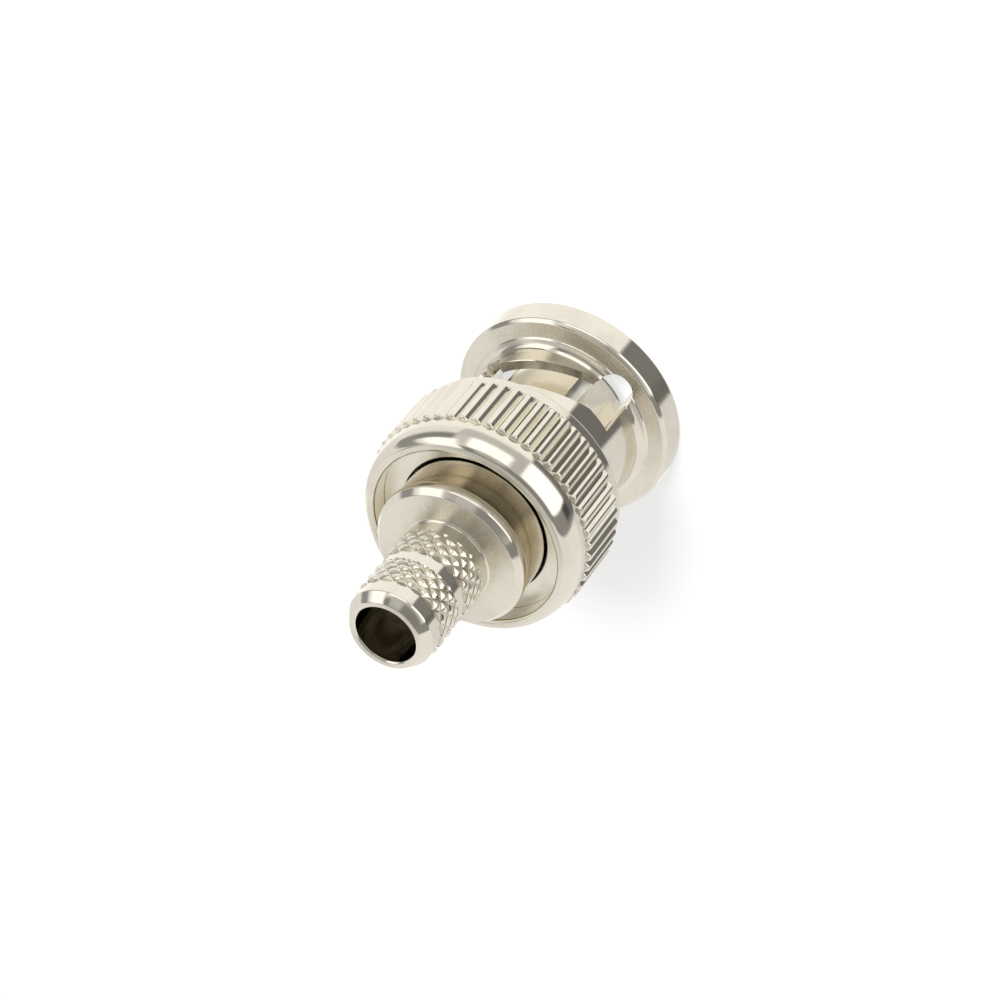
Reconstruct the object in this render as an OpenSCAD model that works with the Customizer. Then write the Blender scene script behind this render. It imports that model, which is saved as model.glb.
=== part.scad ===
// Bayonet coaxial plug for crimping onto a cable, standing on the front face of its
// coupling nut. +Z runs along the axis from the mating end to the crimp tube, and the
// origin is the centre of the nut's front face. All sizes are in millimetres.

/* [Coupling nut] */
// Outside diameter of the front flange
flange_d = 14.5; // [14.2:0.1:15]
// Thickness of the flange at its rim
flange_t = 1.74; // [1.5:0.02:2]
// Outside diameter of the neck that carries the bayonet slots
neck_d = 11; // [10.9:0.05:11.2]
// Bore for the mating socket's shell
nut_bore_d = 9.7; // [9.65:0.01:9.76]
// Total length of the nut
nut_len = 14.9; // [14.8:0.05:15.2]
// Diameter over the crests of the straight knurl
knurl_d = 14.76; // [14.6:0.02:14.9]
// Depth of the straight knurl's grooves
knurl_depth = 0.31; // [0.2:0.01:0.4]
// Number of straight knurl teeth
knurl_teeth = 53; // [40:1:60]
// Distance from the front face to the knurled grip
grip_start = 8.24; // [8:0.02:8.4]
// Distance from the front face to the knurl's rear end
knurl_end = 12.8; // [12.5:0.05:13]

/* [Bayonet slots] */
// Height of each slot, measured along the axis
slot_w = 2.55; // [2.3:0.05:2.7]
// Radius of the entry channel and of the locking pocket
pocket_r = 1.2; // [1.05:0.05:1.3]
// Turn between the entry channel and the locking pocket, in degrees
lock_turn = 96; // [80:1:100]
// How far the cam pulls the mating socket in
cam_rise = 1; // [0.6:0.05:1.1]

/* [Body] */
// Diameter of the rear collar
collar_d = 9.72; // [9.6:0.02:9.8]
// Diameter of the neck behind the nut
body_neck_d = 9.44; // [9.3:0.02:9.5]
// Diameter of the flange that is held inside the nut
hub_flange_d = 12.64; // [12.5:0.02:12.7]
// Overall length from the nut's front face to the end of the crimp tube
overall_len = 24.6; // [24.2:0.1:25.5]

/* [Crimp tube] */
// Plain diameter of the crimp tube
tube_d = 5.5; // [5.4:0.02:5.6]
// Bore for the cable's dielectric
tube_bore_d = 3.9; // [3.7:0.05:4.1]
// Diameter over the diamond pads
pad_d = 5.8; // [5.7:0.02:5.9]
// Number of diamond pads around the tube
pads_around = 18; // [14:1:24]

/* [Contacts] */
// Diameter of the sprung outer contact
sleeve_d = 8.1; // [8:0.02:8.2]
// Number of slits that make the spring fingers
slit_count = 5; // [4:1:6]
// Width of one slit
slit_w = 0.8; // [0.5:0.05:0.9]
// Diameter of the centre pin
pin_d = 1.35; // [1.3:0.01:1.4]

/* [Hidden] */
$fn = 72;
nickel = [0.84, 0.81, 0.74];
spring_steel = [0.66, 0.65, 0.62];
ptfe = [0.93, 0.92, 0.88];
silicone = [0.62, 0.24, 0.16];
gold = [0.86, 0.68, 0.32];

// Stations along the axis
cavity_start = 9;           // shoulder inside the nut, in front of the body's flange
body_front = 7.2;           // front face of the body, which seats the gasket
hub_flange_z = 9.05;
hub_flange_t = 2.6;
spring_gap = 0.02;          // play at each end of the spring washer
washer_t = 0.6;
washer_top = 13.5;
washer_z = washer_top - washer_t;
collar_z = 16.05;
rear_face = 17.05;
tube_end = overall_len;
sleeve_front = 0.62;
sleeve_root = 10.2;         // the outer contact is pressed into the body as far as this
insulator_front = 1.05;
insulator_end = 15.4;

// Radii worked out from the sizes above
running = 0.07;             // radial clearance of the parts that turn in each other
nut_bore_r = nut_bore_d / 2;
neck_r = neck_d / 2;
cavity_r = hub_flange_d / 2 + running;
lip_bore_r = 6.1;
lip_r = 7.16;
knurl_r = knurl_d / 2;
grip_r = knurl_r - knurl_depth;
washer_r = cavity_r - running;
washer_hole_r = body_neck_d / 2 + 0.11;
sleeve_r = sleeve_d / 2;
sleeve_in_r = sleeve_r - 0.55;
tube_r = tube_d / 2;
bore_r = tube_bore_d / 2;
pad_r = pad_d / 2;
insulator_r = 3.2;
eps = 0.01;

// Points of an arc about (cx, cz), from angle a0 to a1 in n steps
function arc(cx, cz, rx, rz, a0, a1, n = 8) =
    [for (i = [0:n]) let(a = a0 + (a1 - a0) * i / n) [cx + rx * cos(a), cz + rz * sin(a)]];

// A point at a given angle, radius and height
function polar(a, r, z) = [r * cos(a), r * sin(a), z];

module ring(r_out, r_in, z0, z1) {
    difference() {
        translate([0, 0, z0]) cylinder(r = r_out, h = z1 - z0);
        translate([0, 0, z0 - 1]) cylinder(r = r_in, h = z1 - z0 + 2);
    }
}

// ---- Coupling nut --------------------------------------------------------------------

// Outline of the nut's turned outside and its stepped bore, as [radius, height]
function nut_outline() =
    let(rim = flange_d / 2)
    concat(
        [[nut_bore_r + 0.3, 0], [rim - 0.12, 0], [rim, 0.12], [rim - 0.07, flange_t]],
        [[rim - 0.25, flange_t + 0.26], [6.04, 2.15], [5.98, 2.26]],
        arc(neck_r + 0.55, 2.83, 0.55, 0.55, 250, 180, 5),
        arc(neck_r + 0.4, grip_start - 0.85, 0.4, 0.4, 180, 105, 5),
        [[grip_r - 0.12, grip_start - 0.14], [grip_r, grip_start], [grip_r, knurl_end - 0.01]],
        [[lip_r - 0.06, knurl_end - 0.01], [lip_r, knurl_end + 0.08]],
        arc(6.46, 13.2, lip_r - 6.46, nut_len - 13.2, 8, 90, 9),
        arc(lip_bore_r + 0.24, nut_len - 0.24, 0.24, 0.24, 90, 180, 4),
        [[lip_bore_r, washer_top + 0.02], [cavity_r, washer_top + 0.02]],
        [[cavity_r, cavity_start], [nut_bore_r, cavity_start]],
        [[nut_bore_r, 0.3]]
    );

// One tooth of the straight knurl, as shares of the pitch and of the depth: from the sharp
// groove up a sloping flank and over a nearly flat crest, before the steeper second flank
tooth = [[0.09, -0.05], [0.47, 0.95], [0.63, 1], [0.79, 0.97]];

module straight_knurl() {
    pitch = 360 / knurl_teeth;
    outline = [for (i = [0:knurl_teeth - 1]) for (p = tooth)
        let(a = (i + p[0]) * pitch, r = grip_r + p[1] * knurl_depth) [r * cos(a), r * sin(a)]];
    difference() {
        intersection() {
            translate([0, 0, 8.6]) linear_extrude(knurl_end - 8.6) polygon(outline);
            rotate_extrude() polygon([[0, 8], [grip_r - 0.1, 8], [grip_r - 0.1, 8.7], [knurl_r + 0.1, 9.28],
                                      [knurl_r + 0.1, knurl_end + 1], [0, knurl_end + 1]]);
        }
        translate([0, 0, 8]) cylinder(r = cavity_r + 0.2, h = knurl_end);
    }
}

entry_a = -16.5;            // angle of the entry channel
lock_a = entry_a + lock_turn;
entry_r = neck_r - 0.3;     // radius at which the entry channel's cutter runs
cam_base = 2.97;
cam_end = 60;               // angle at which the cam levels out

// Front and rear edges of the slot at angle a
function cam(a) = let(t = min(a / cam_end, 1)) cam_base + cam_rise * t * (2 - t);
function pocket_half() = asin(pocket_r / neck_r);
function pocket_dip(a) = let(d = neck_r * sin(a - lock_a)) sqrt(max(pocket_r * pocket_r - d * d, 0));
function slot_front(a) = abs(a - lock_a) < pocket_half() ? cam(a) + 0.08 - pocket_dip(a) : cam(a);
function slot_rear(a) = cam(a) + slot_w - max(0, a - lock_a - pocket_half() + 5) * 0.08;

// Cutter for the curved slot and its locking pocket, from inside the bore to outside the neck
module slot_cutter() {
    last = lock_a + pocket_half();
    steps = 44;
    a = [for (i = [0:steps]) entry_a + (last - entry_a) * i / steps];
    r0 = nut_bore_r - 0.6;
    r1 = neck_r + 0.38;
    points = [for (t = a) each [polar(t, r0, slot_front(t)), polar(t, r1, slot_front(t)),
                                polar(t, r1, slot_rear(t)), polar(t, r0, slot_rear(t))]];
    walls = [for (i = [0:steps - 1]) for (k = [0:3]) let(p = 4 * i + k, q = 4 * i + (k + 1) % 4)
        each [[p, q, p + 4], [q, q + 4, p + 4]]];
    n = 4 * steps;
    ends = [[2, 1, 0], [3, 2, 0], [n, n + 1, n + 2], [n, n + 2, n + 3]];
    polyhedron(points, concat(walls, ends));
}

module bayonet_slots() {
    for (side = [0, 180]) rotate(side) {
        slot_cutter();
        rotate(entry_a) translate([entry_r, 0, -1]) cylinder(r = pocket_r, h = 6.2);
    }
}

module coupling_nut() {
    color(nickel) difference() {
        union() {
            rotate_extrude() polygon(nut_outline());
            straight_knurl();
        }
        bayonet_slots();
    }
}

// ---- Washers -------------------------------------------------------------------------

module retaining_washer() {
    color(nickel) ring(washer_r, washer_hole_r, washer_z, washer_top);
}

// Spring washer with three waves, just clear of the flange below and the washer above
module wave_spring() {
    waves = 3;
    steps = 60;
    t = 0.25;
    low = hub_flange_z + hub_flange_t + spring_gap;
    high = washer_z - spring_gap;
    swing = (high - low - t) / 2;
    n = 4 * steps;
    points = [for (i = [0:steps - 1]) let(a = 360 * i / steps, z = low + swing * (1 - cos(waves * a)))
        each [polar(a, 5, z), polar(a, 6.2, z), polar(a, 6.2, z + t), polar(a, 5, z + t)]];
    faces = [for (i = [0:steps - 1]) for (k = [0:3])
        let(p = 4 * i + k, q = 4 * i + (k + 1) % 4)
        each [[p, q, (p + 4) % n], [q, (q + 4) % n, (p + 4) % n]]];
    color(spring_steel) polyhedron(points, faces);
}

// ---- Body and crimp tube -------------------------------------------------------------

function body_outline() =
    let(hub_r = nut_bore_r - 0.08, neck = body_neck_d / 2, collar = collar_d / 2, f = hub_flange_d / 2)
    concat(
        [[0, body_front], [hub_r - 0.1, body_front], [hub_r, body_front + 0.1], [hub_r, hub_flange_z]],
        [[f - 0.1, hub_flange_z], [f, hub_flange_z + 0.1], [f, hub_flange_z + hub_flange_t - 0.1]],
        [[f - 0.1, hub_flange_z + hub_flange_t], [neck, hub_flange_z + hub_flange_t]],
        [[neck, collar_z - 0.15], [collar, collar_z + 0.1], [collar, rear_face - 0.44]],
        [[collar - 0.3, rear_face], [tube_r + 0.1, rear_face], [tube_r, rear_face + 0.1]],
        [[tube_r, tube_end - 0.6]],
        arc(tube_r - 0.4, tube_end - 0.6, 0.4, 0.6, 15, 75, 4),
        [[tube_r - 0.42, tube_end], [0, tube_end]]
    );

// A band of diamond pads between two crossed sets of grooves, one pad every second lattice point
module diamond_band(z0, z1, phase, z_phase) {
    step = 180 / pads_around;
    rise = 0.455;
    land = 0.74;            // share of the pitch that the pad's flat top takes
    rows = ceil((z1 - z0) / rise) + 3;
    columns = 2 * pads_around;
    first = z_phase - 2 * rise;
    // groove crossings sit where row + column is even, pad centres where it is odd
    centres = [for (j = [1:rows - 1]) for (i = [0:columns - 1]) if ((i + j) % 2 == 1) [i, j]];
    ground = tube_r - 0.06;
    core = bore_r + 0.2;
    crossings = [for (j = [0:rows]) for (i = [0:columns - 1])
        polar(phase + i * step, ground, first + j * rise)];
    tops = [for (c = centres) for (d = [[1, 0], [0, 1], [-1, 0], [0, -1]])
        polar(phase + (c[0] + land * d[0]) * step, pad_r, first + (c[1] + land * d[1]) * rise)];
    inner = [for (j = [0, 1]) for (i = [0:columns - 1])
        polar(phase + i * step, core, first + (j == 0 ? 0 : rows) * rise)];
    function at(i, j) = j * columns + (i + columns) % columns;
    pad0 = len(crossings);
    in0 = pad0 + len(tops);
    pads = [for (k = [0:len(centres) - 1]) let(c = centres[k], p = pad0 + 4 * k,
            n = [at(c[0] + 1, c[1]), at(c[0], c[1] + 1), at(c[0] - 1, c[1]), at(c[0], c[1] - 1)])
        each concat([[p, p + 2, p + 1], [p, p + 3, p + 2]],
            [for (m = [0:3]) let(q = (m + 1) % 4) each [[p + m, p + q, n[m]], [n[m], p + q, n[q]]]])];
    // half cells that close the first and last rows, and the flat ends of the band
    edge = [for (i = [0:columns - 1]) each concat(
        (i % 2 == 1) ? [[at(i - 1, 0), at(i, 1), at(i, 0)], [at(i, 0), at(i, 1), at(i + 1, 0)]] : [],
        ((i + rows) % 2 == 1) ? [[at(i - 1, rows), at(i, rows), at(i, rows - 1)],
                                 [at(i, rows), at(i + 1, rows), at(i, rows - 1)]] : [])];
    caps = [for (i = [0:columns - 1]) let(k = (i + 1) % columns, low = in0 + i, top = in0 + columns + i,
            low_k = in0 + k, top_k = in0 + columns + k)
        each [[at(i, 0), at(k, 0), low_k], [at(i, 0), low_k, low],
              [at(i, rows), top, top_k], [at(i, rows), top_k, at(k, rows)],
              [low, low_k, top_k], [low, top_k, top]]];
    intersection() {
        polyhedron(concat(crossings, tops, inner), concat(pads, edge, caps));
        translate([0, 0, z0]) cylinder(r = pad_r + 1, h = z1 - z0);
    }
}

module crimp_body() {
    color(nickel) difference() {
        union() {
            rotate_extrude() polygon(body_outline());
            diamond_band(18, 20, -1, 18.27);
            diamond_band(20.9, 22.92, -6, 21.17);
        }
        translate([0, 0, 0]) cylinder(r = sleeve_r, h = sleeve_root);
        translate([0, 0, 0]) cylinder(r = insulator_r, h = insulator_end);
        translate([0, 0, 0]) cylinder(r = bore_r, h = tube_end + 1);
        translate([0, 0, tube_end - 0.25]) cylinder(r1 = bore_r, r2 = bore_r + 0.25, h = 0.25 + eps);
    }
}

// ---- Contacts and insulator ----------------------------------------------------------

module contact_sleeve() {
    color(nickel) difference() {
        rotate_extrude() polygon([
            [sleeve_in_r + 0.1, sleeve_front], [sleeve_r - 0.3, sleeve_front],
            [sleeve_r - 0.2, sleeve_front + 0.1], [sleeve_r - 0.2, sleeve_front + 0.34],
            [sleeve_r, 1.68], [sleeve_r, sleeve_root],
            [sleeve_in_r, sleeve_root], [sleeve_in_r, sleeve_front + 0.1]]);
        for (i = [0:slit_count - 1]) rotate(3.5 + 360 * i / slit_count) {
            translate([sleeve_in_r - 0.5, -slit_w / 2, 0]) cube([1.5, slit_w, 5.6]);
            translate([sleeve_in_r - 0.5, 0, 5.6]) rotate([0, 90, 0]) cylinder(d = slit_w, h = 1.5);
        }
    }
}

// Dielectric: a cup round the pin in front, a solid seat in the body behind
module insulator() {
    color(ptfe) difference() {
        rotate_extrude() polygon([
            [0, insulator_front], [3.2, insulator_front], [3.3, insulator_front + 0.1], [3.3, 6.6],
            [sleeve_in_r - 0.06, 6.7], [sleeve_in_r - 0.06, sleeve_root], [insulator_r, sleeve_root],
            [insulator_r, insulator_end], [0, insulator_end]]);
        translate([0, 0, 0]) cylinder(r = 2.45, h = 6.6);
        translate([0, 0, 0]) cylinder(r = 1.05, h = 13);
        translate([0, 0, 0]) cylinder(r = 0.8, h = insulator_end + 1);
        translate([0, 0, insulator_end - 0.8]) cylinder(r1 = 0.8, r2 = 1.5, h = 0.8 + eps);
    }
}

// Turned pin: round nose, shoulder held by the insulator, hollow rear end for the wire
module centre_pin() {
    r = pin_d / 2;
    nose = 1.3;
    color(gold) difference() {
        rotate_extrude() polygon(concat(
            [[0, nose - 0.1]], arc(0.2, nose + 0.4, r - 0.2, 0.5, 270, 360, 6),
            [[r, 6.5], [1.05, 6.7], [1.05, 13], [0.8, 13], [0.8, 15], [0, 15]]));
        translate([0, 0, 12]) cylinder(r = 0.5, h = 4);
    }
}

module gasket() {
    color(silicone) ring(nut_bore_r - 0.15, sleeve_r, body_front - 0.9, body_front);
}

coupling_nut();
retaining_washer();
wave_spring();
crimp_body();
contact_sleeve();
insulator();
centre_pin();
gasket();
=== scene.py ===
"""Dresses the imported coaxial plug: a nickel-plated bayonet nut, body and crimp tube.

Laid out as a Blender add-on and run as a script. Every piece is built in millimetres,
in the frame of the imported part, and is brought to metres when it settles on its body.
"""

import math

import bmesh
import bpy
from bpy.props import FloatProperty, FloatVectorProperty, IntProperty, PointerProperty
from mathutils import Matrix, Vector


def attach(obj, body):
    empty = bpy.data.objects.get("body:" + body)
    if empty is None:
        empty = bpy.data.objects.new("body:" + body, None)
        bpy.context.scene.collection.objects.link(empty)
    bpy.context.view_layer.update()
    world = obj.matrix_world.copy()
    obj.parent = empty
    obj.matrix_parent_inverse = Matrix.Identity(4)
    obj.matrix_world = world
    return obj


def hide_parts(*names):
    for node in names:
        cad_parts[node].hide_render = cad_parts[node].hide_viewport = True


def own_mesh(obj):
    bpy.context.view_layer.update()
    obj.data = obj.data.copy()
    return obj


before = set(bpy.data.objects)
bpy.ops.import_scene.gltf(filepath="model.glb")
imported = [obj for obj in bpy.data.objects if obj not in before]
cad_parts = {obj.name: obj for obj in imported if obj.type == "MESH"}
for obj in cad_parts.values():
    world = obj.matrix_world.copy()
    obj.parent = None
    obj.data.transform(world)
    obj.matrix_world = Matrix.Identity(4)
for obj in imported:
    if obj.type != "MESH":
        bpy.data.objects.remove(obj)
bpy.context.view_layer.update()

bl_info = {
    "name": "Coaxial plug dresser",
    "version": (1, 0, 0),
    "blender": (4, 5, 0),
    "location": "3D View > Sidebar > Plug",
    "description": "Builds the finished pieces of a crimp-on bayonet plug round its packed frame",
    "category": "Add Mesh",
}

MM = 0.001
PER_METRE = 1 / MM
TURNED = 360                # segments of a large turned piece
SMALL_TURNED = 180          # segments of a small one
SHARP = math.radians(32)    # edges bent more than this stay crisp


# ---- Sizes and colours ---------------------------------------------------------------

class NutSizes(bpy.types.PropertyGroup):
    flange_d: FloatProperty(name="Flange diameter", description="Front flange of the nut, mm", default=14.5)
    neck_d: FloatProperty(name="Neck diameter", description="Neck that carries the bayonet slots, mm",
                          default=11.0)
    bore_d: FloatProperty(name="Bore", description="Bore for the mating shell, mm", default=9.7)
    knurl_d: FloatProperty(name="Knurl diameter", description="Over the crests of the straight knurl, mm",
                           default=14.76)
    knurl_depth: FloatProperty(name="Knurl depth", description="Depth of the straight grooves, mm",
                               default=0.31)
    teeth: IntProperty(name="Knurl teeth", description="Number of straight teeth", default=53, min=12)
    edge: FloatProperty(name="Edge break", description="Bevel on the slots' edges, mm", default=0.045)


class BodySizes(bpy.types.PropertyGroup):
    collar_d: FloatProperty(name="Collar diameter", description="Rear collar of the body, mm", default=9.72)
    neck_d: FloatProperty(name="Neck diameter", description="Neck behind the nut, mm", default=9.44)
    tube_d: FloatProperty(name="Tube diameter", description="Plain diameter of the crimp tube, mm",
                          default=5.5)
    bore_d: FloatProperty(name="Tube bore", description="Bore for the cable's dielectric, mm", default=3.9)
    pad_d: FloatProperty(name="Pad diameter", description="Over the diamond pads, mm", default=5.8)
    pads_around: IntProperty(name="Pads around", description="Diamond pads in one row", default=18, min=6)
    pad_rise: FloatProperty(name="Half pitch", description="Half the pads' pitch along the tube, mm",
                            default=0.455)


class ContactSizes(bpy.types.PropertyGroup):
    sleeve_d: FloatProperty(name="Outer contact", description="Diameter of the sprung sleeve, mm",
                            default=8.1)
    slit_w: FloatProperty(name="Slit", description="Width of one slit, mm", default=0.8)
    slits: IntProperty(name="Slits", description="Slits that make the spring fingers", default=5, min=2)
    pin_d: FloatProperty(name="Pin diameter", description="Centre pin, mm", default=1.35)


class Finishes(bpy.types.PropertyGroup):
    nickel: FloatVectorProperty(name="Nickel", description="Bright nickel plate", subtype="COLOR",
                                size=3, min=0, max=1, default=(0.80, 0.755, 0.655))
    tarnish: FloatVectorProperty(name="Tarnish", description="Faint warm film on the plate", subtype="COLOR",
                                 size=3, min=0, max=1, default=(0.60, 0.545, 0.44))
    gold: FloatVectorProperty(name="Gold", description="Thin gold plate on the pin", subtype="COLOR",
                              size=3, min=0, max=1, default=(0.83, 0.60, 0.26))
    steel: FloatVectorProperty(name="Spring steel", description="Rolled strip", subtype="COLOR",
                               size=3, min=0, max=1, default=(0.55, 0.54, 0.51))
    insulator: FloatVectorProperty(name="Insulator", description="White fluoropolymer", subtype="COLOR",
                                   size=3, min=0, max=1, default=(0.83, 0.82, 0.78))
    rubber: FloatVectorProperty(name="Gasket", description="Red-brown silicone rubber", subtype="COLOR",
                                size=3, min=0, max=1, default=(0.16, 0.075, 0.05))


class StageSizes(bpy.types.PropertyGroup):
    floor: FloatProperty(name="Floor", description="Side of the floor", default=1.6, unit="LENGTH")
    floor_glow: FloatProperty(name="Floor glow", description="Light that the sheet gives to the camera",
                              default=0.70, min=0, max=1)
    lens: FloatProperty(name="Lens", description="Focal length, mm", default=120.0)


# ---- Meshes --------------------------------------------------------------------------

def arc(centre_r, centre_z, radius_r, radius_z, start, end, steps=8):
    """Points of an elliptical arc in the turning plane, from start to end in degrees."""
    points = []
    for i in range(steps + 1):
        a = math.radians(start + (end - start) * i / steps)
        points.append((centre_r + radius_r * math.cos(a), centre_z + radius_z * math.sin(a)))
    return points


def eased(loop, radius=0.05, steps=3, least=25):
    """The loop with each corner sharper than least degrees rounded, and held by points beside it."""
    out = []
    count = len(loop)
    for i, p in enumerate(loop):
        here = Vector(p)
        back = Vector(loop[i - 1]) - here
        ahead = Vector(loop[(i + 1) % count]) - here
        bend = math.pi - back.angle(ahead, math.pi)
        if math.degrees(bend) < least or here.x < 1e-6:
            out.append(p)
            continue
        cut = min(radius, back.length * 0.3, ahead.length * 0.3)
        hold = cut * 1.5
        a, b = here + back.normalized() * cut, here + ahead.normalized() * cut
        out.append(tuple(here + back.normalized() * hold))
        for k in range(steps + 1):
            t = k / steps
            out.append(tuple(a * (1 - t) ** 2 + here * 2 * t * (1 - t) + b * t * t))
        out.append(tuple(here + ahead.normalized() * hold))
    return out


def polar(degrees, radius, z):
    a = math.radians(degrees)
    return (radius * math.cos(a), radius * math.sin(a), z)


def new_object(name, verts, faces):
    """A closed mesh with its doubles merged and its faces turned outwards."""
    mesh = bpy.data.meshes.new(name)
    mesh.from_pydata(verts, [], faces)
    bm = bmesh.new()
    bm.from_mesh(mesh)
    bmesh.ops.remove_doubles(bm, verts=bm.verts, dist=1e-5)
    bmesh.ops.recalc_face_normals(bm, faces=bm.faces)
    bm.to_mesh(mesh)
    bm.free()
    obj = bpy.data.objects.new(name, mesh)
    bpy.context.scene.collection.objects.link(obj)
    return obj


def turned(name, loop, segments=TURNED):
    """A ring turned from a closed loop of (radius, height)."""
    verts, faces = [], []
    count = len(loop)
    for k in range(segments):
        verts += [polar(360 * k / segments, r, z) for r, z in loop]
    for k in range(segments):
        here, ahead = k * count, (k + 1) % segments * count
        for i in range(count):
            j = (i + 1) % count
            faces.append((here + i, ahead + i, ahead + j, here + j))
    return new_object(name, verts, faces)


def swept(name, sections, closed=False):
    """A tube through sections, each a list of as many points; its ends are closed unless it meets itself."""
    count = len(sections[0])
    verts = [p for s in sections for p in s]
    faces = []
    spans = len(sections) if closed else len(sections) - 1
    for k in range(spans):
        here, ahead = k * count, (k + 1) % len(sections) * count
        for i in range(count):
            j = (i + 1) % count
            faces.append((here + i, ahead + i, ahead + j, here + j))
    if not closed:
        last = (len(sections) - 1) * count
        faces.append(tuple(range(count)))
        faces.append(tuple(reversed(range(last, last + count))))
    return new_object(name, verts, faces)


def carve(obj, *cutters):
    """Cuts the cutters out of obj, exactly, and removes them."""
    for cutter in cutters:
        mod = obj.modifiers.new("carve", "BOOLEAN")
        mod.operation, mod.solver, mod.object = "DIFFERENCE", "EXACT", cutter
    plain(obj)
    for cutter in cutters:
        bpy.data.objects.remove(cutter)
    return obj


def plain(obj):
    """Turns what obj's modifiers make into its own mesh, and takes them off."""
    graph = bpy.context.evaluated_depsgraph_get()
    made = bpy.data.meshes.new_from_object(obj.evaluated_get(graph))
    obj.modifiers.clear()
    obj.data = made
    return obj


def settle(obj, material, slot, body, *nodes):
    """Brings a piece to metres, with its finish, onto its body and in place of the CAD nodes named."""
    obj.data.transform(Matrix.Scale(MM, 4))
    obj.data.materials.clear()
    obj.data.materials.append(material)
    obj.data.shade_smooth()
    obj.data.set_sharp_from_angle(angle=SHARP)
    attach(obj, body)
    if nodes:
        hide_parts(*nodes)
    return obj


# ---- Geometry Nodes ------------------------------------------------------------------

def add(tree, kind, inputs=None, **settings):
    """A node with its settings; an input is given a value, or the output that feeds it."""
    made = tree.nodes.new(kind)
    for key, value in settings.items():
        setattr(made, key, value)
    for key, value in (inputs or {}).items():
        if isinstance(value, bpy.types.NodeSocket):
            tree.links.new(value, made.inputs[key])
        else:
            made.inputs[key].default_value = value
    return made


def calc(tree, operation, first, second=0.0, third=None):
    """The output of one Math node."""
    inputs = {0: first, 1: second}
    if third is not None:
        inputs[2] = third
    return add(tree, "ShaderNodeMath", inputs, operation=operation).outputs[0]


def ring_tree():
    """A tree that repeats one piece round the axis, row above row, each row turned and raised a step."""
    tree = bpy.data.node_groups.new("repeat_round_axis", "GeometryNodeTree")
    kinds = {"Geometry": "Geometry", "Count": "Int", "Rows": "Int", "Row turn": "Float", "Row rise": "Float",
             "First turn": "Float", "First height": "Float", "Finish": "Material"}
    for name, kind in kinds.items():
        tree.interface.new_socket(name, in_out="INPUT", socket_type="NodeSocket" + kind)
    tree.interface.new_socket("Geometry", in_out="OUTPUT", socket_type="NodeSocketGeometry")
    given = add(tree, "NodeGroupInput").outputs
    total = calc(tree, "MULTIPLY", given["Count"], given["Rows"])
    points = add(tree, "GeometryNodePoints", {"Count": total})
    index = add(tree, "GeometryNodeInputIndex").outputs[0]
    row = calc(tree, "FLOOR", calc(tree, "DIVIDE", index, given["Count"]))
    step = calc(tree, "DIVIDE", math.tau, given["Count"])
    turn = calc(tree, "MULTIPLY_ADD", index, step,
                calc(tree, "MULTIPLY_ADD", row, given["Row turn"], given["First turn"]))
    rise = calc(tree, "MULTIPLY_ADD", row, given["Row rise"], given["First height"])
    placed = add(tree, "GeometryNodeSetPosition", {
        "Geometry": points.outputs[0],
        "Position": add(tree, "ShaderNodeCombineXYZ", {"Z": rise}).outputs[0]})
    turns = add(tree, "FunctionNodeEulerToRotation", {
        "Euler": add(tree, "ShaderNodeCombineXYZ", {"Z": turn}).outputs[0]})
    copies = add(tree, "GeometryNodeInstanceOnPoints", {
        "Points": placed.outputs[0], "Instance": given["Geometry"], "Rotation": turns.outputs[0]})
    real = add(tree, "GeometryNodeRealizeInstances", {"Geometry": copies.outputs[0]})
    finish = add(tree, "GeometryNodeSetMaterial", {"Geometry": real.outputs[0], "Material": given["Finish"]})
    add(tree, "NodeGroupOutput", {"Geometry": finish.outputs[0]})
    return tree


def repeated(obj, tree, **values):
    """obj repeated by the tree, as one plain mesh. Values are the tree's inputs, with _ for a space."""
    mod = obj.modifiers.new("repeat", "NODES")
    mod.node_group = tree
    sockets = {s.name: s.identifier for s in tree.interface.items_tree if s.in_out == "INPUT"}
    for key, value in values.items():
        mod[sockets[key.replace("_", " ")]] = value
    return plain(obj)


def trimmed(obj, low, high):
    """obj cut off square below low and above high, with the cuts closed."""
    bm = bmesh.new()
    bm.from_mesh(obj.data)
    for height, up in ((low, -1), (high, 1)):
        cut = bmesh.ops.bisect_plane(bm, geom=bm.verts[:] + bm.edges[:] + bm.faces[:], dist=1e-6,
                                     plane_co=(0, 0, height), plane_no=(0, 0, up), clear_outer=True)
        rim = [g for g in cut["geom_cut"] if isinstance(g, bmesh.types.BMEdge)]
        bmesh.ops.holes_fill(bm, edges=rim, sides=0)
    bmesh.ops.recalc_face_normals(bm, faces=bm.faces)
    bm.to_mesh(obj.data)
    bm.free()
    return obj


# ---- Finishes ------------------------------------------------------------------------

def blank_material(name):
    material = bpy.data.materials.new(name)
    material.use_nodes = True
    material.node_tree.nodes.clear()
    return material, material.node_tree


def blended(tree, factor, first, second):
    """The output of a colour mix; first and second are colours or outputs."""
    made = tree.nodes.new("ShaderNodeMix")
    made.data_type = "RGBA"
    for socket, value in zip((made.inputs[0], made.inputs[6], made.inputs[7]), (factor, first, second)):
        if isinstance(value, bpy.types.NodeSocket):
            tree.links.new(value, socket)
        else:
            socket.default_value = value if isinstance(value, float) else (*value, 1.0)
    return made.outputs[2]


def ramped(tree, value, low, high, to_low=0.0, to_high=1.0, kind="SMOOTHSTEP"):
    """value taken from the range low..high to to_low..to_high, and held at its ends."""
    made = add(tree, "ShaderNodeMapRange", {"Value": value, "From Min": low, "From Max": high,
                                            "To Min": to_low, "To Max": to_high}, interpolation_type=kind)
    return made.outputs[0]


def noise(tree, place, per_mm, **inputs):
    """The output of a noise whose scale is given per millimetre."""
    inputs = {"Vector": place, "Scale": per_mm * PER_METRE, **inputs}
    return add(tree, "ShaderNodeTexNoise", inputs).outputs[0]


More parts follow.
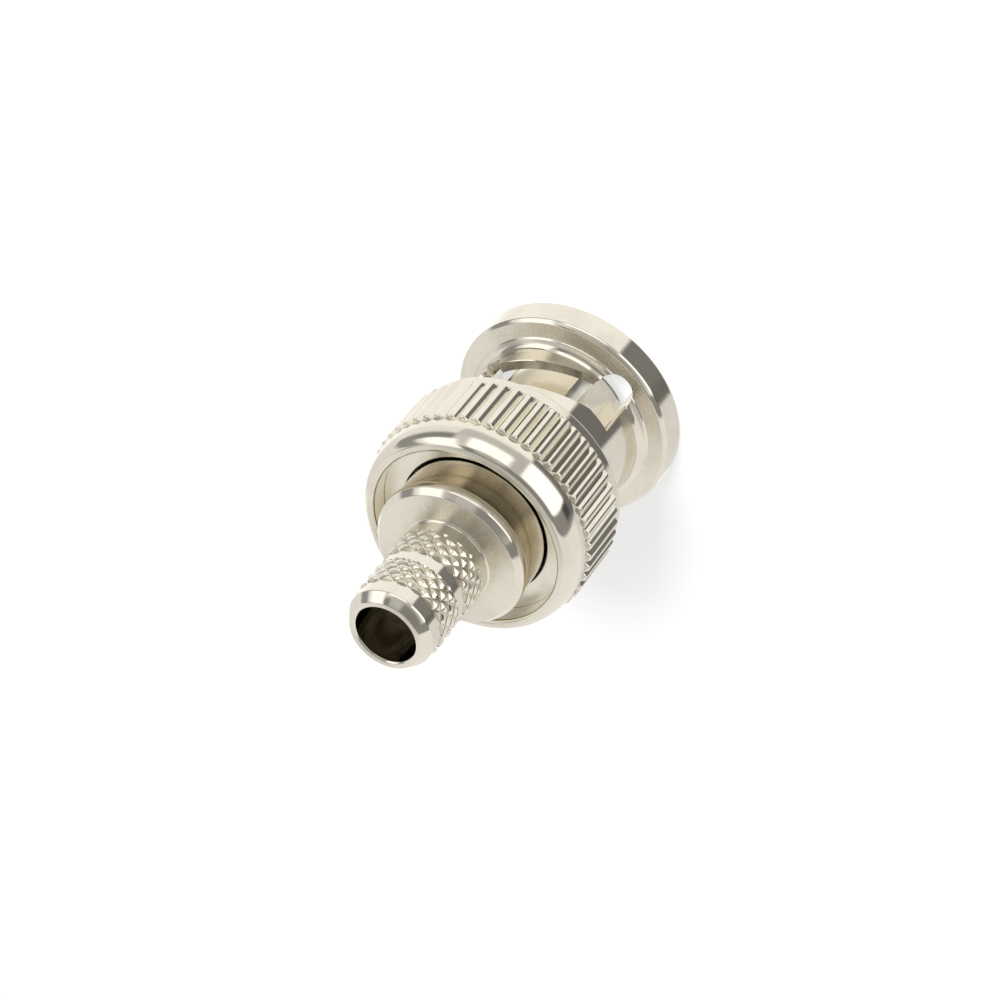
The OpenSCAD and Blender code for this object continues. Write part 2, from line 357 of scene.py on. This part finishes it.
MARK_DEPTH = 0.0022         # of the tool marks, mm
ALONG_AXIS = 0.83           # how fast the marks change along the axis, against away from it
FACE_FROM, FACE_TO = 0.93, 0.995    # share of the normal along the axis at which streaks start and are full


def plated(name, plate, film, roughness=0.075, face_roughness=0.30, marks=0.15, film_share=0.35,
           marks_per_mm=26):
    """Bright plate over a turned surface: crisp on round walls, streaked on faces that lie across the axis."""
    material, tree = blank_material(name)
    coords = add(tree, "ShaderNodeTexCoord").outputs
    place = coords["Object"]
    part = add(tree, "ShaderNodeSeparateXYZ", {0: place})
    flat = add(tree, "ShaderNodeCombineXYZ", {"X": part.outputs["X"], "Y": part.outputs["Y"]})
    radius = add(tree, "ShaderNodeVectorMath", {0: flat.outputs[0]}, operation="LENGTH").outputs["Value"]
    along = calc(tree, "MULTIPLY_ADD", part.outputs["Z"], ALONG_AXIS, radius)
    facing = calc(tree, "ABSOLUTE", add(tree, "ShaderNodeSeparateXYZ", {0: coords["Normal"]}).outputs["Z"])
    across = ramped(tree, facing, FACE_FROM, FACE_TO)
    way = calc(tree, "MULTIPLY", along, marks_per_mm * PER_METRE)
    rings = add(tree, "ShaderNodeTexNoise", {"W": way, "Detail": 3.0, "Roughness": 0.65},
                noise_dimensions="1D").outputs[0]
    waves = noise(tree, place, 0.55, Detail=2.0)
    grain = noise(tree, place, 9, Detail=4.0, Roughness=0.6)
    cloud = noise(tree, place, 0.35, Detail=5.0, Roughness=0.6, Distortion=0.4)
    ring_share = ramped(tree, across, 0.0, 1.0, marks, marks * 3, kind="LINEAR")
    swell = calc(tree, "MULTIPLY_ADD", grain, 0.25, calc(tree, "MULTIPLY", waves, 1.5))
    height = calc(tree, "MULTIPLY_ADD", rings, ring_share, swell)
    bump = add(tree, "ShaderNodeBump", {"Height": height, "Strength": 1.0, "Distance": MARK_DEPTH * MM})
    film_cover = calc(tree, "MULTIPLY", ramped(tree, cloud, 0.42, 0.72), film_share)
    colour = blended(tree, film_cover, plate, film)
    base = ramped(tree, across, 0.0, 1.0, roughness, face_roughness, kind="LINEAR")
    worn = calc(tree, "MULTIPLY", base, ramped(tree, grain, 0.3, 0.7, 0.85, 1.15))
    rough = calc(tree, "MULTIPLY_ADD", film_cover, 0.06, worn)
    tangent = add(tree, "ShaderNodeTangent", direction_type="RADIAL", axis="Z")
    shader = add(tree, "ShaderNodeBsdfPrincipled", {
        "Base Color": colour, "Metallic": 1.0, "Roughness": rough, "Anisotropic": 0.85,
        "Anisotropic Rotation": 0.25, "Normal": bump.outputs[0], "Tangent": tangent.outputs[0]})
    add(tree, "ShaderNodeOutputMaterial", {"Surface": shader.outputs[0]})
    return material


def moulded(name, colour, shade, roughness, grain_per_mm, depth_mm):
    """A matt moulded or machined plastic or rubber with a fine grain."""
    material, tree = blank_material(name)
    place = add(tree, "ShaderNodeTexCoord").outputs["Object"]
    grain = noise(tree, place, grain_per_mm, Detail=5.0, Roughness=0.6)
    cloud = noise(tree, place, 0.5, Detail=3.0)
    bump = add(tree, "ShaderNodeBump", {"Height": grain, "Strength": 0.6, "Distance": depth_mm * MM})
    mixed = blended(tree, ramped(tree, cloud, 0.3, 0.7), colour, shade)
    rough = ramped(tree, grain, 0.3, 0.7, roughness * 0.9, roughness * 1.1)
    shader = add(tree, "ShaderNodeBsdfPrincipled", {
        "Base Color": mixed, "Roughness": rough, "Normal": bump.outputs[0]})
    add(tree, "ShaderNodeOutputMaterial", {"Surface": shader.outputs[0]})
    return material


# ---- Coupling nut --------------------------------------------------------------------
# Heights are measured from the nut's front face and radii from the axis, in millimetres.
# Angles are in degrees.

BORE_CHAMFER = 0.3
FLANGE_T = 1.74
FLANGE_CHAMFER = 0.12
FLANGE_BACK = ((6.04, 2.15), (5.98, 2.26))      # radius and height of the small step behind the flange
FRONT_FILLET, FRONT_FILLET_AT = 0.55, 2.83      # from the flange to the neck: radius, and height of its centre
REAR_FILLET, REAR_FILLET_BEFORE = 0.4, 0.85     # from the neck to the grip: radius, and its centre's distance
GRIP_START = 8.24
KNURL_END = 12.8
LIP_FOOT = ((0.06, 0.0), (0.033, 0.07), (0.014, 0.15), (0.003, 0.25))   # inside LIP_R, behind KNURL_END
LIP_R, LIP_BORE_R = 7.16, 6.1
LIP_CROWN = (6.46, 13.2)                        # centre of the rolled lip's curve
LIP_MOUTH = 0.24                                # rounding at the lip's bore
NUT_LEN = 14.9
CAVITY_START = 9.0
CAVITY_R = 6.39
WASHER_LOW, WASHER_HIGH = 12.9, 13.5
WASHER_PLAY = 0.02


def nut_loop(s):
    """The nut's turned outside and stepped bore, without its knurl's teeth."""
    rim, neck, bore = s.flange_d / 2, s.neck_d / 2, s.bore_d / 2
    grip_r = s.knurl_d / 2 - s.knurl_depth
    flange = [(bore + BORE_CHAMFER, 0), (rim - FLANGE_CHAMFER, 0), (rim, FLANGE_CHAMFER),
              (rim - 0.07, FLANGE_T), (rim - 0.25, FLANGE_T + 0.26), *FLANGE_BACK]
    waist = (arc(neck + FRONT_FILLET, FRONT_FILLET_AT, FRONT_FILLET, FRONT_FILLET, 250, 180, 10)
             + arc(neck + REAR_FILLET, GRIP_START - REAR_FILLET_BEFORE, REAR_FILLET, REAR_FILLET, 180, 105, 10))
    grip = [(grip_r - 0.12, GRIP_START - 0.14), (grip_r, GRIP_START), (grip_r, KNURL_END - 0.02)]
    foot = [(LIP_R - inside, KNURL_END + behind) for inside, behind in LIP_FOOT]
    crown_r, crown_z = LIP_CROWN
    lip = (arc(crown_r, crown_z, LIP_R - crown_r, NUT_LEN - crown_z, 0, 90, 28)
           + arc(LIP_BORE_R + LIP_MOUTH, NUT_LEN - LIP_MOUTH, LIP_MOUTH, LIP_MOUTH, 90, 180, 8))
    seat = WASHER_HIGH + WASHER_PLAY
    bores = [(LIP_BORE_R, seat), (CAVITY_R, seat), (CAVITY_R, CAVITY_START), (bore, CAVITY_START),
             (bore, BORE_CHAMFER)]
    return eased(flange + waist + grip + foot + lip + bores, radius=0.06)


ENTRY_TURN, LOCK_TURN = -16.5, 79.5             # angles of the entry channel and the locking pocket
SLOT_W = 2.55
CAM_BASE, CAM_RISE, CAM_TURN = 2.97, 1.0, 60.0
POCKET_R = 1.2
POCKET_BACK = 0.08                              # from the cam's front edge back to the pocket's centre
TAIL_TURN, TAIL_SLOPE = 5, 0.08                 # last stretch of the rear edge, and its slope per degree
CHANNEL_INSET = 0.3                             # from the neck's outside in to the channel's axis
CHANNEL_LOW, CHANNEL_HIGH = -1, 5.2


def cam(turn):
    """Height of the slot's front edge, which eases off towards the pocket."""
    t = min(turn / CAM_TURN, 1)
    return CAM_BASE + CAM_RISE * t * (2 - t)


def slot_edges(turn, neck):
    """Front and rear edge of the slot at an angle: a cam that ends in a round pocket."""
    half = math.degrees(math.asin(POCKET_R / neck))
    front = cam(turn)
    if abs(turn - LOCK_TURN) < half:
        across = neck * math.sin(math.radians(turn - LOCK_TURN))
        front += POCKET_BACK - math.sqrt(max(POCKET_R ** 2 - across ** 2, 0))
    rear = cam(turn) + SLOT_W - max(0, turn - LOCK_TURN - half + TAIL_TURN) * TAIL_SLOPE
    return front, rear


def slot_cutter(s, side):
    """Cutter for one curved slot, flared at the neck's outside and bore so that it breaks their edges."""
    neck, bore, edge = s.neck_d / 2, s.bore_d / 2, s.edge
    last = LOCK_TURN + math.degrees(math.asin(POCKET_R / neck))
    steps = 120
    out, deep = 0.38, 0.5       # how far the cutter runs past the neck's outside and past its bore
    sections = []
    for i in range(steps + 1):
        turn = ENTRY_TURN + (last - ENTRY_TURN) * i / steps
        front, rear = slot_edges(turn, neck)
        low_side = [(bore - deep, front - deep - edge), (bore + edge, front), (neck - edge, front),
                    (neck + out, front - out - edge)]
        high_side = [(neck + out, rear + out + edge), (neck - edge, rear), (bore + edge, rear),
                     (bore - deep, rear + deep + edge)]
        sections.append([polar(turn + side, r, z) for r, z in low_side + high_side])
    return swept("slot_cutter", sections)


def channel_cutter(s, side):
    """Round rod that opens the entry channel through the flange."""
    across = s.neck_d / 2 - CHANNEL_INSET
    rod = [(0, CHANNEL_LOW), (POCKET_R, CHANNEL_LOW), (POCKET_R, CHANNEL_HIGH), (0, CHANNEL_HIGH)]
    cutter = turned("channel_cutter", rod, 96)
    turn = math.radians(ENTRY_TURN + side)
    cutter.data.transform(Matrix.Translation((across * math.cos(turn), across * math.sin(turn), 0)))
    return cutter


# One tooth of the straight knurl over its pitch, as shares of the pitch and of the depth
TOOTH_SHAPE = (
    (0.0, -0.12), (0.015, -0.03), (0.31, 0.78), (0.345, 0.865), (0.38, 0.925), (0.425, 0.965), (0.48, 0.985),
    (0.54, 1.0), (0.60, 0.995), (0.655, 0.98), (0.695, 0.95), (0.73, 0.89), (0.76, 0.80), (0.985, -0.03),
    (1.0, -0.12),
)
TOOTH_TURN = 0.09                               # share of the pitch by which the first groove is turned
BEVEL_FOOT, BEVEL_SLOPE = 8.81, 0.9             # front bevel: height of its foot, and rise per millimetre
BEVEL_SPREAD = 0.02                             # keeps the points on the bevel apart
REAR_EDGE = ((0.2, 0.0), (0.085, 0.0), (0.065, 0.004), (0.04, 0.016), (0.02, 0.034), (0.006, 0.058),
             (0.0, 0.075))                      # before KNURL_END, and how far the crest has dropped


def knurl_tooth(s):
    """One straight tooth: uneven flanks, a rounded crest, a bevelled front end and a broken edge behind."""
    pitch = 360 / s.teeth
    ground = s.knurl_d / 2 - s.knurl_depth
    stations = [(BEVEL_FOOT - 0.05 + 0.04 * k, 0.0) for k in range(12)] + [(9.6, 0.0), (11.0, 0.0)]
    stations += [(KNURL_END - before, drop) for before, drop in REAR_EDGE]
    sections = []
    for z, drop in stations:
        roof = (z - BEVEL_FOOT) * BEVEL_SLOPE
        section = []
        for share, rise in TOOTH_SHAPE:
            height = rise * s.knurl_depth
            if rise > 0:
                height = min(height, roof + BEVEL_SPREAD * rise) - drop
            section.append(polar((TOOTH_TURN + share) * pitch, ground + height, z))
        sections.append(section)
    return swept("knurl", sections)


class PLUG_OT_nut(bpy.types.Operator):
    """Build the coupling nut: turned shell, two bayonet slots and the straight knurl"""
    bl_idname = "plug.nut"
    bl_label = "Coupling nut"

    def execute(self, context):
        sizes, finish = context.scene.plug_nut, context.scene.plug_finish
        metal = plated("nickel_nut", finish.nickel, finish.tarnish)
        shell = turned("nut_shell", nut_loop(sizes))
        carve(shell, *[cutter(sizes, side) for side in (0, 180) for cutter in (slot_cutter, channel_cutter)])
        settle(shell, metal, "nickel_nut", "nut", "coupling_nut")
        teeth = repeated(knurl_tooth(sizes), ring_tree(), Count=sizes.teeth, Rows=1, Finish=metal)
        teeth.name = "nut_knurl"
        settle(teeth, metal, "nickel_nut", "nut", "coupling_nut")
        return {"FINISHED"}


# ---- Washers -------------------------------------------------------------------------

SPRING_LOW = 11.67
SPRING_HIGH = 12.88
SPRING_T = 0.25


class PLUG_OT_washers(bpy.types.Operator):
    """Build the retaining washer and the wave spring inside the nut"""
    bl_idname = "plug.washers"
    bl_label = "Washers"

    def execute(self, context):
        finish = context.scene.plug_finish
        metal = plated("nickel_washer", finish.nickel, finish.tarnish, face_roughness=0.2)
        hole, rim = 4.83, CAVITY_R - 0.07
        ring = turned("washer_ring", eased([(hole, WASHER_LOW), (rim, WASHER_LOW), (rim, WASHER_HIGH),
                                            (hole, WASHER_HIGH)], radius=0.07))
        settle(ring, metal, "nickel_washer", "washer", "retaining_washer")

        steel = plated("spring_steel", finish.steel, finish.tarnish, roughness=0.2, marks=0.1)
        inner, outer, waves, steps = 5.0, 6.2, 3, 240
        swing = (SPRING_HIGH - SPRING_LOW - SPRING_T) / 2
        section = eased([(inner, 0), (outer, 0), (outer, SPRING_T), (inner, SPRING_T)], radius=0.05)
        sections = []
        for i in range(steps):
            turn = 360 * i / steps
            lift = SPRING_LOW + swing * (1 - math.cos(math.radians(waves * turn)))
            sections.append([polar(turn, r, z + lift) for r, z in section])
        spring = swept("spring_ring", sections, closed=True)
        settle(spring, steel, "spring_steel", "body", "wave_spring")
        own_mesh(spring)
        return {"FINISHED"}


# ---- Body and crimp tube -------------------------------------------------------------

BODY_FRONT = 7.2
HUB_R, HUB_FLANGE_R = 4.77, 6.32
HUB_FLANGE_LOW, HUB_FLANGE_HIGH = 9.05, 11.65
NECK_END, COLLAR_START = 15.9, 16.15
COLLAR_BEVEL = (0.3, 0.44)      # across and along
REAR_FACE = 17.05
TUBE_END = 24.6
TUBE_CONE = 0.66                # length of the conical end
EDGE_BREAK = 0.1
SEAT_R = 4.05                   # bore that holds the outer contact
CORE_R, CORE_END = 3.2, 15.4    # bore that holds the rear of the insulator
BANDS = ((18.0, 20.0, -1.0, 18.27), (20.9, 22.92, -6.0, 21.17))     # low, high, turn, height of the lattice
PAD_TOP = ((0.86, 0.085), (0.82, 0.066), (0.30, 0.012), (0.16, 0.002), (0.0, 0.0))  # share of width, depth


def body_loop(s):
    """Outside and stepped bore of the body."""
    neck, collar, tube, bore = s.neck_d / 2, s.collar_d / 2, s.tube_d / 2, s.bore_d / 2
    hub, flange, edge = HUB_R, HUB_FLANGE_R, EDGE_BREAK
    across, along = COLLAR_BEVEL
    front = [(SEAT_R, BODY_FRONT), (hub - edge, BODY_FRONT), (hub, BODY_FRONT + edge), (hub, HUB_FLANGE_LOW),
             (flange - edge, HUB_FLANGE_LOW), (flange, HUB_FLANGE_LOW + edge),
             (flange, HUB_FLANGE_HIGH - edge), (flange - edge, HUB_FLANGE_HIGH), (neck, HUB_FLANGE_HIGH)]
    rear = [(neck, NECK_END), (collar, COLLAR_START), (collar, REAR_FACE - along), (collar - across, REAR_FACE)]
    end = [(tube + edge, REAR_FACE), (tube, REAR_FACE + edge), (tube, TUBE_END - TUBE_CONE),
           (tube - 0.36, TUBE_END - 0.05), (tube - 0.42, TUBE_END)]
    inside = [(bore + edge, TUBE_END), (bore, TUBE_END - edge), (bore, CORE_END), (CORE_R, CORE_END),
              (CORE_R, SLEEVE_ROOT), (SEAT_R, SLEEVE_ROOT)]
    return eased(front + rear + end + inside, radius=0.05)


def diamond_pad(s):
    """One pad about angle 0 and height 0: a low blunt pyramid with steep sides, rooted in the tube."""
    step = 180 / s.pads_around
    top, ground, root = s.pad_d / 2, s.tube_d / 2 - 0.06, s.tube_d / 2 - 0.2
    corners = [(1, 0), (0, 1), (-1, 0), (0, -1)]
    outline = []
    for (ax, az), (bx, bz) in zip(corners, corners[1:] + corners[:1]):
        outline += [(ax + (bx - ax) * k / 3, az + (bz - az) * k / 3) for k in range(3)]
    rings = [(1.0, root), (1.0, ground)] + [(share, top - depth) for share, depth in PAD_TOP]
    sections = []
    for share, radius in rings:
        sections.append([polar(x * share * step, radius, z * share * s.pad_rise) for x, z in outline])
    return swept("pad", sections)


class PLUG_OT_body(bpy.types.Operator):
    """Build the body: turned hub, neck, collar and crimp tube, with two bands of diamond pads"""
    bl_idname = "plug.body"
    bl_label = "Body and crimp tube"

    def execute(self, context):
        sizes, finish = context.scene.plug_body, context.scene.plug_finish
        metal = plated("nickel_body", finish.nickel, finish.tarnish, marks=0.22)
        shell = turned("body_shell", body_loop(sizes))
        settle(shell, metal, "nickel_body", "body", "crimp_body")
        tree = ring_tree()
        half = math.pi / sizes.pads_around
        for number, (low, high, turn, height) in enumerate(BANDS, 1):
            rows = int((high - low) / sizes.pad_rise) + 4
            first = height - 3 * sizes.pad_rise
            pads = repeated(diamond_pad(sizes), tree, Count=sizes.pads_around, Rows=rows, Row_turn=half,
                            Row_rise=sizes.pad_rise, First_turn=math.radians(turn), First_height=first,
                            Finish=metal)
            pads.name = f"tube_knurl_{number}"
            trimmed(pads, low, high)
            settle(pads, metal, "nickel_body", "body", "crimp_body")
        return {"FINISHED"}


# ---- Contacts, insulator and gasket --------------------------------------------------

SLEEVE_FRONT, SLEEVE_ROOT = 0.62, 10.2
SLEEVE_WALL = 0.55
SLIT_END = 5.6
SLIT_TURN = 3.5


def slit_cutter(s, turn):
    """Cutter for one slit with a round root."""
    inner, outer = s.sleeve_d / 2 - 1.05, s.sleeve_d / 2 + 0.5
    half = s.slit_w / 2
    outline = [(-half, -0.5), (half, -0.5)] + arc(0, SLIT_END, half, half, 0, 180, 20)
    sections = [[(r, y, z) for y, z in outline] for r in (inner, outer)]
    cutter = swept("slit_cutter", sections)
    cutter.data.transform(Matrix.Rotation(math.radians(turn), 4, "Z"))
    return cutter


class PLUG_OT_contacts(bpy.types.Operator):
    """Build the sprung outer contact, the insulator, the centre pin and the gasket"""
    bl_idname = "plug.contacts"
    bl_label = "Contacts and insulator"

    def execute(self, context):
        sizes, finish = context.scene.plug_contact, context.scene.plug_finish
        r, pin = sizes.sleeve_d / 2, sizes.pin_d / 2
        inner = r - SLEEVE_WALL
        metal = plated("nickel_sleeve", finish.nickel, finish.tarnish, roughness=0.1)
        sleeve = turned("sleeve", eased([
            (inner + 0.1, SLEEVE_FRONT), (r - 0.3, SLEEVE_FRONT), (r - 0.2, SLEEVE_FRONT + 0.1),
            (r - 0.2, SLEEVE_FRONT + 0.34), (r, 1.68), (r, SLEEVE_ROOT), (inner, SLEEVE_ROOT),
            (inner, SLEEVE_FRONT + 0.1)]))
        carve(sleeve, *[slit_cutter(sizes, SLIT_TURN + 360 * i / sizes.slits) for i in range(sizes.slits)])
        settle(sleeve, metal, "nickel_sleeve", "body", "contact_sleeve")

        shade = [c * 0.93 for c in finish.insulator]
        white = moulded("insulator_white", finish.insulator, shade, roughness=0.45, grain_per_mm=12,
                        depth_mm=0.004)
        cup = turned("insulator_cup", eased([
            (2.45, 1.05), (3.2, 1.05), (3.3, 1.15), (3.3, 6.6), (inner - 0.06, 6.7), (inner - 0.06, SLEEVE_ROOT),
            (CORE_R, SLEEVE_ROOT), (CORE_R, CORE_END), (1.5, CORE_END), (0.8, 14.6), (0.8, 13.0), (1.05, 13.0),
            (1.05, 6.6), (2.45, 6.6)]))
        settle(cup, white, "ptfe", "body", "insulator")

        gold = plated("gold_pin", finish.gold, [c * 0.85 for c in finish.gold], roughness=0.12, film_share=0.2)
        rod = turned("pin", eased(
            [(0, 1.2)] + arc(0.2, 1.7, pin - 0.2, 0.5, 270, 360, 10)
            + [(pin, 6.5), (1.05, 6.7), (1.05, 13), (0.8, 13), (0.8, 15), (0.5, 15), (0.5, 12), (0, 12)],
            radius=0.04), SMALL_TURNED)
        settle(rod, gold, "gold_pin", "body", "centre_pin")

        dark = [c * 0.8 for c in finish.rubber]
        rubber = moulded("gasket_rubber", finish.rubber, dark, roughness=0.5, grain_per_mm=14, depth_mm=0.006)
        seal = turned("gasket_ring", eased([(r, 6.3), (4.7, 6.3), (4.7, 7.2), (r, 7.2)], radius=0.12, steps=5))
        settle(seal, rubber, "silicone_rubber", "body", "gasket")
        return {"FINISHED"}


# ---- Stage ---------------------------------------------------------------------------

CAMERA_AT = (145.7877, 0.0, 147.9159)           # millimetres
CAMERA_TURN = (-39.588646, 26.868268, -60.671152)
FRAMING = (-0.024, 0.0085)                      # shift of the frame, as shares of its width
TENT_LIGHT = 0.95                               # brightness of the tent where no panel hangs

# The tent's panels, laid over each other in turn: azimuth and height of the middle, half width,
# half height, softness of the edge, all in degrees, and brightness
TENT = (
    (0, -70, 190, 32, 2, 0.82),             # sheet below, far side
    (90, -70, 96, 34, 3, 1.10),             # sheet below, near side
    (165, -60, 30, 22, 8, 1.20),            # its brightest corner
    (2, 52, 66, 32, 5, 0.27),               # dark room past the tent's open top
    (0, 80, 190, 26, 8, 0.60),              # top of the tent
    (27, 29, 16, 11, 6, 0.58),              # rail above the second soft box
    (54, -12, 8, 26, 4, 0.72),              # gap past the second soft box
    (30, -29, 34, 8, 2, 0.63),              # rail under the second soft box
    (2, -8, 8, 30, 3, 0.60),                # gap between the two soft boxes
    (-60, -8, 10.5, 46, 2.5, 0.30),         # gap at the first soft box's far edge
    (-56, -33, 8, 10, 3, 0.08),             # foot of its stand
    (-27, -10.5, 22.5, 25.5, 2, 1.55),      # first soft box
    (29, -2, 20, 18, 4, 1.50),              # second soft box
    (74, 20, 15, 25, 4, 1.40),              # third, higher
    (90, -13, 27, 9, 4, 0.27),              # stand behind it
    (106, 8, 9, 28, 4, 0.33),               # gap past the third soft box
    (122, 41, 17, 8, 5, 0.50),              # rail above the gap
    (137, 2, 16, 34, 5, 0.86),              # tent's side wall
    (164, -3, 7, 25, 3, 1.25),              # bright strip
    (177, 3, 6, 20, 4, 0.55),               # seam beside it
    (-37, -47, 32, 9.5, 2.5, 0.19),         # table edge under the first soft box
)


def panel_group():
    """A group that lays one soft-edged panel over the tent's light."""
    tree = bpy.data.node_groups.new("tent_panel", "ShaderNodeTree")
    for name in ("Light", "Azimuth", "Height", "Middle azimuth", "Middle height", "Half width", "Half height",
                 "Softness", "Brightness"):
        tree.interface.new_socket(name, in_out="INPUT", socket_type="NodeSocketFloat")
    tree.interface.new_socket("Light", in_out="OUTPUT", socket_type="NodeSocketFloat")
    given = add(tree, "NodeGroupInput").outputs
    apart = calc(tree, "SUBTRACT", given["Azimuth"], given["Middle azimuth"])
    aside = calc(tree, "WRAP", apart, 180.0, -180.0)
    above = calc(tree, "SUBTRACT", given["Height"], given["Middle height"])
    cover = None
    for off, half in ((aside, given["Half width"]), (above, given["Half height"])):
        inside = ramped(tree, calc(tree, "ABSOLUTE", off), calc(tree, "SUBTRACT", half, given["Softness"]),
                        calc(tree, "ADD", half, given["Softness"]), 1.0, 0.0)
        cover = inside if cover is None else calc(tree, "MULTIPLY", cover, inside)
    change = calc(tree, "SUBTRACT", given["Brightness"], given["Light"])
    add(tree, "NodeGroupOutput", {0: calc(tree, "MULTIPLY_ADD", cover, change, given["Light"])})
    return tree


def studio(world):
    """White surround for the camera; for everything else, a bright tent with soft boxes and dark gaps."""
    world.use_nodes = True
    tree = world.node_tree
    tree.nodes.clear()
    way = add(tree, "ShaderNodeSeparateXYZ", {0: add(tree, "ShaderNodeTexCoord").outputs["Generated"]})
    azimuth = calc(tree, "DEGREES", calc(tree, "ARCTAN2", way.outputs["Y"], way.outputs["X"]))
    height = calc(tree, "DEGREES", calc(tree, "ARCSINE", way.outputs["Z"]))
    group = panel_group()
    light = TENT_LIGHT
    for place in TENT:
        panel = add(tree, "ShaderNodeGroup", node_tree=group)
        for socket, value in zip(panel.inputs, (light, azimuth, height, *place)):
            if isinstance(value, bpy.types.NodeSocket):
                tree.links.new(value, socket)
            else:
                socket.default_value = value
        light = panel.outputs[0]
    path = add(tree, "ShaderNodeLightPath")
    seen = add(tree, "ShaderNodeBackground", {"Color": (1, 1, 1, 1), "Strength": 1.0})
    tent = add(tree, "ShaderNodeBackground", {"Color": (1, 0.995, 0.985, 1), "Strength": light})
    both = add(tree, "ShaderNodeMixShader", {0: path.outputs["Is Camera Ray"], 1: tent.outputs[0],
                                             2: seen.outputs[0]})
    add(tree, "ShaderNodeOutputWorld", {"Surface": both.outputs[0]})


def sheet_material(glow):
    """White sheet that glows for the camera, takes the plug's shadow and stays out of its reflections."""
    material, tree = blank_material("white_sheet")
    path = add(tree, "ShaderNodeLightPath")
    paper = add(tree, "ShaderNodeBsdfDiffuse", {"Color": (0.2, 0.2, 0.197, 1)})
    seen = calc(tree, "MULTIPLY", path.outputs["Is Camera Ray"], glow)
    shine = add(tree, "ShaderNodeEmission", {"Color": (1, 1, 1, 1), "Strength": seen})
    lit = add(tree, "ShaderNodeAddShader", {0: paper.outputs[0], 1: shine.outputs[0]})
    clear = add(tree, "ShaderNodeBsdfTransparent")
    both = add(tree, "ShaderNodeMixShader", {0: path.outputs["Is Glossy Ray"], 1: lit.outputs[0],
                                             2: clear.outputs[0]})
    add(tree, "ShaderNodeOutputMaterial", {"Surface": both.outputs[0]})
    return material


def lamp(name, at, size, power, towards=(0, 0, 12)):
    """A soft square lamp; places in millimetres, power in watts."""
    data = bpy.data.lights.new(name, "AREA")
    data.energy, data.size, data.color = power, size * MM, (1, 1, 1)
    obj = bpy.data.objects.new(name, data)
    obj.location = Vector(at) * MM
    obj.rotation_euler = (Vector(towards) - Vector(at)).to_track_quat("-Z", "Y").to_euler()
    obj.visible_glossy = False
    bpy.context.scene.collection.objects.link(obj)
    return obj


class PLUG_OT_stage(bpy.types.Operator):
    """Set the pale floor, the soft studio light and the camera"""
    bl_idname = "plug.stage"
    bl_label = "Stage"

    def execute(self, context):
        sizes, scene = context.scene.plug_stage, context.scene
        half = sizes.floor / 2
        mesh = bpy.data.meshes.new("floor")
        corners = [(-half, -half, 0), (half, -half, 0), (half, half, 0), (-half, half, 0)]
        mesh.from_pydata(corners, [], [(0, 1, 2, 3)])
        mesh.materials.append(sheet_material(sizes.floor_glow))
        floor = bpy.data.objects.new("floor", mesh)
        scene.collection.objects.link(floor)

        scene.world = bpy.data.worlds.new("tent")
        studio(scene.world)
        lamp("key", at=(160, 130, 260), size=160, power=3.0)

        data = bpy.data.cameras.new("camera")
        data.lens, data.sensor_width = sizes.lens, 36
        data.shift_x, data.shift_y = FRAMING
        data.clip_start, data.clip_end = 0.01, 10
        camera = bpy.data.objects.new("camera", data)
        camera.location = Vector(CAMERA_AT) * MM
        camera.rotation_euler = [math.radians(a) for a in CAMERA_TURN]
        scene.collection.objects.link(camera)
        scene.camera = camera
        scene.view_settings.view_transform = "Standard"
        return {"FINISHED"}


# ---- Add-on --------------------------------------------------------------------------

class PLUG_PT_panel(bpy.types.Panel):
    """Lists the plug's pieces and its sizes"""
    bl_label = "Coaxial plug"
    bl_idname = "PLUG_PT_panel"
    bl_space_type = "VIEW_3D"
    bl_region_type = "UI"
    bl_category = "Plug"

    def draw(self, context):
        layout = self.layout
        for operator in OPERATORS:
            layout.operator(operator.bl_idname)
        for group in GROUPS:
            box = layout.box()
            settings = getattr(context.scene, group)
            for key in settings.__annotations__:
                box.prop(settings, key)


GROUPS = {"plug_nut": NutSizes, "plug_body": BodySizes, "plug_contact": ContactSizes,
          "plug_finish": Finishes, "plug_stage": StageSizes}
OPERATORS = (PLUG_OT_stage, PLUG_OT_nut, PLUG_OT_washers, PLUG_OT_body, PLUG_OT_contacts)


def register():
    for cls in (*GROUPS.values(), *OPERATORS, PLUG_PT_panel):
        bpy.utils.register_class(cls)
    for key, cls in GROUPS.items():
        setattr(bpy.types.Scene, key, PointerProperty(type=cls))


def unregister():
    for key in GROUPS:
        delattr(bpy.types.Scene, key)
    for cls in reversed((*GROUPS.values(), *OPERATORS, PLUG_PT_panel)):
        bpy.utils.unregister_class(cls)


def main():
    register()
    bpy.ops.plug.stage()
    bpy.ops.plug.nut()
    bpy.ops.plug.washers()
    bpy.ops.plug.body()
    bpy.ops.plug.contacts()


if __name__ == "__main__":
    main()
